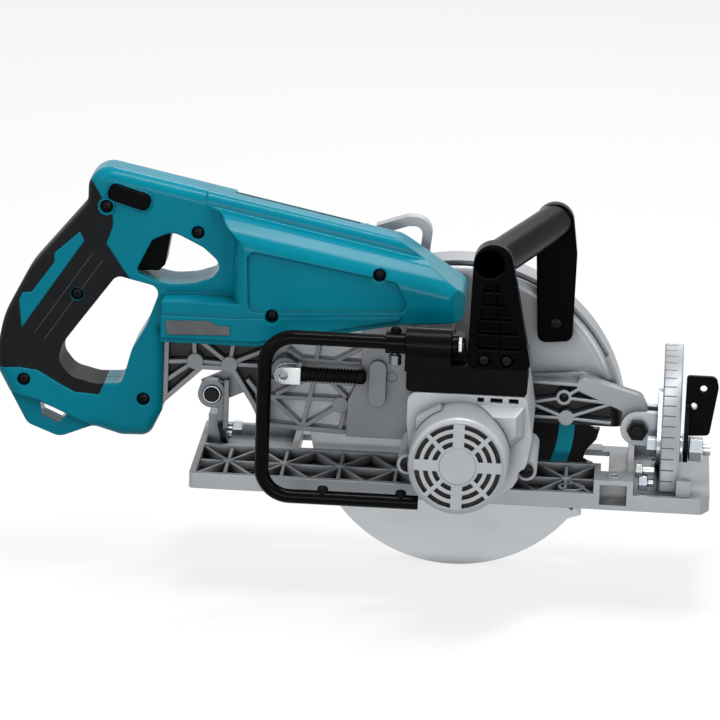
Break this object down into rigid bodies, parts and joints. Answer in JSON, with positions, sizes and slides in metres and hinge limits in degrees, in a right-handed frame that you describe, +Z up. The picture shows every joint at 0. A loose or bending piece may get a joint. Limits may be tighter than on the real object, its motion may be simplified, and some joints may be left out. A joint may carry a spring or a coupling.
{
  "type": "rear handle circular saw",
  "caption": "Cordless rear handle circular saw, blade left: tilting depth-adjustable head on a ribbed sole, swinging lower guard, front handle, fold-out hook and driven gear train",
  "frame": {"origin": "on the underside of the sole, below the arbor, in the parting plane of the handle shells", "axes": "+X forward along the cut, +Y to the saw's left where the blade is, +Z up from the sole"},
  "size_m": [0.461, 0.21, 0.2642],
  "materials": {
    "cast_silver": "cast, fine blasted",
    "base_silver": "cast, darker in the rib bays",
    "guard_silver": "smooth cast, clear coated",
    "plate_steel": "pressed, zinc plated",
    "bolt_steel": "zinc plated",
    "spring_steel": "oiled",
    "bearing_steel": "ground",
    "tool_steel": "ground",
    "black_steel": "black, satin",
    "blade_coat": "dark coating, satin",
    "lamination": "stacked sheets",
    "copper": "enamelled wire",
    "teal_plastic": "fine moulded texture, slight gloss",
    "black_plastic": "fine moulded texture",
    "plate_grey": "smooth foil",
    "grip_rubber": "matt, soft",
    "terminal": "plated"
  },
  "bodies": {
    "base": {"base_plate": "base_silver", "bevel_quadrant": "cast_silver", "bevel_pins": "bolt_steel"},
    "tilt_frame": {"front_bracket": "plate_steel", "rear_bracket": "plate_steel", "bevel_bolt": "bolt_steel", "bevel_clamp_washer": "bolt_steel", "bevel_nut": "bolt_steel", "depth_bolt": "bolt_steel", "depth_nut": "bolt_steel", "guide_bolt": "bolt_steel"},
    "bevel_lever": {"bevel_lever": "black_steel"},
    "depth_guide": {"depth_guide": "plate_steel"},
    "head": {"rear_frame": "cast_silver", "gear_case": "cast_silver", "upper_guard": "guard_silver", "spindle_bearings": "bearing_steel", "guard_spring": "spring_steel", "motor_housing": "cast_silver", "stator": "lamination", "windings": "copper", "motor_end_cap": "cast_silver", "rotor_bearings": "bearing_steel", "motor_screws": "black_steel", "depth_clamp_bolt": "bolt_steel", "depth_clamp_nut": "bolt_steel", "grip_right": "grip_rubber", "grip_left": "grip_rubber", "handle_right": "teal_plastic", "handle_left": "teal_plastic", "handle_screws": "black_steel", "rating_plate": "plate_grey", "switch_unit": "black_plastic", "controller": "black_plastic", "trigger_pin": "tool_steel", "battery_rails": "black_plastic", "terminal_blocks": "terminal", "hook_bracket": "black_plastic", "front_handle": "black_plastic", "front_handle_screws": "black_steel"},
    "depth_lever": {"depth_lever": "bolt_steel", "depth_lever_sleeve": "grip_rubber"},
    "hook": {"hook_rod": "black_steel", "hook_cross_pin": "bolt_steel", "hook_studs": "grip_rubber"},
    "lower_guard": {"lower_guard": "guard_silver"},
    "guard_lever": {"guard_lever": "cast_silver"},
    "spindle": {"spindle": "tool_steel", "spindle_gear": "tool_steel", "inner_flange": "tool_steel", "blade": "blade_coat", "outer_flange": "tool_steel", "blade_bolt": "black_steel"},
    "rotor": {"rotor_shaft": "tool_steel", "rotor_core": "lamination", "fan": "black_plastic"},
    "trigger": {"trigger": "black_plastic"},
    "lock_off_button": {"lock_off_button": "black_plastic"},
    "shaft_lock": {"shaft_lock": "black_plastic"}
  },
  "joints": [
    {"name": "bevel_tilt", "type": "hinge", "parent": "base", "child": "tilt_frame", "pos_m": [0, 0.044, 0.008], "axis": [-1, 0, 0], "range_deg": [0, 53]},
    {"name": "bevel_lever_turn", "type": "hinge", "parent": "tilt_frame", "child": "bevel_lever", "pos_m": [0.147, -0.01732, 0.0324], "axis": [1, 0, 0], "range_deg": [0, 60]},
    {"name": "depth_swing", "type": "hinge", "parent": "tilt_frame", "child": "head", "pos_m": [0.116, 0.01345, 0.038], "axis": [0, 1, 0], "range_deg": [0, 30]},
    {"name": "depth_guide_turn", "type": "hinge", "parent": "tilt_frame", "child": "depth_guide", "pos_m": [-0.1575, 0.012, 0.047], "axis": [0, 1, 0], "range_deg": [-42, 0]},
    {"name": "depth_lever_turn", "type": "hinge", "parent": "head", "child": "depth_lever", "pos_m": [-0.11, -0.024, 0.07], "axis": [0, 1, 0], "range_deg": [0, 60]},
    {"name": "hook_swing", "type": "hinge", "parent": "head", "child": "hook", "pos_m": [-0.016, -0.085, 0.11], "axis": [-1, 0, 0], "range_deg": [0, 95]},
    {"name": "lower_guard_turn", "type": "hinge", "parent": "head", "child": "lower_guard", "pos_m": [0, 0.044, 0.027], "axis": [0, 1, 0], "range_deg": [0, 128], "stiffness_Nm_per_rad": 0.12, "springref_deg": -91.67},
    {"name": "guard_lever_turn", "type": "hinge", "parent": "head", "child": "guard_lever", "pos_m": [0, 0.0318, 0.027], "axis": [0, 1, 0], "range_deg": [0, 70], "stiffness_Nm_per_rad": 0.1, "springref_deg": -45.84},
    {"name": "spindle_spin", "type": "hinge", "parent": "head", "child": "spindle", "pos_m": [0, 0.044, 0.027], "axis": [0, 1, 0], "continuous": true},
    {"name": "rotor_spin", "type": "hinge", "parent": "head", "child": "rotor", "pos_m": [0.00607, -0.059, 0.04416], "axis": [0, 1, 0], "continuous": true},
    {"name": "trigger_pull", "type": "hinge", "parent": "head", "child": "trigger", "pos_m": [-0.19, 0, 0.157], "axis": [0, 1, 0], "range_deg": [0, 10], "stiffness_Nm_per_rad": 0.8, "springref_deg": -5.73},
    {"name": "lock_off_slide", "type": "slide", "parent": "head", "child": "lock_off_button", "axis": [0, 1, 0], "range_m": [-0.003, 0.003], "stiffness_N_per_m": 900},
    {"name": "shaft_lock_slide", "type": "slide", "parent": "head", "child": "shaft_lock", "axis": [-1, 0, 0], "range_m": [0, 0.003], "stiffness_N_per_m": 900, "springref_m": -0.001}
  ],
  "couplings": [
    {"joint": "depth_guide_turn", "follows": "depth_swing", "ratio": -1.4},
    {"joint": "rotor_spin", "follows": "spindle_spin", "ratio": -4.2}
  ]
}
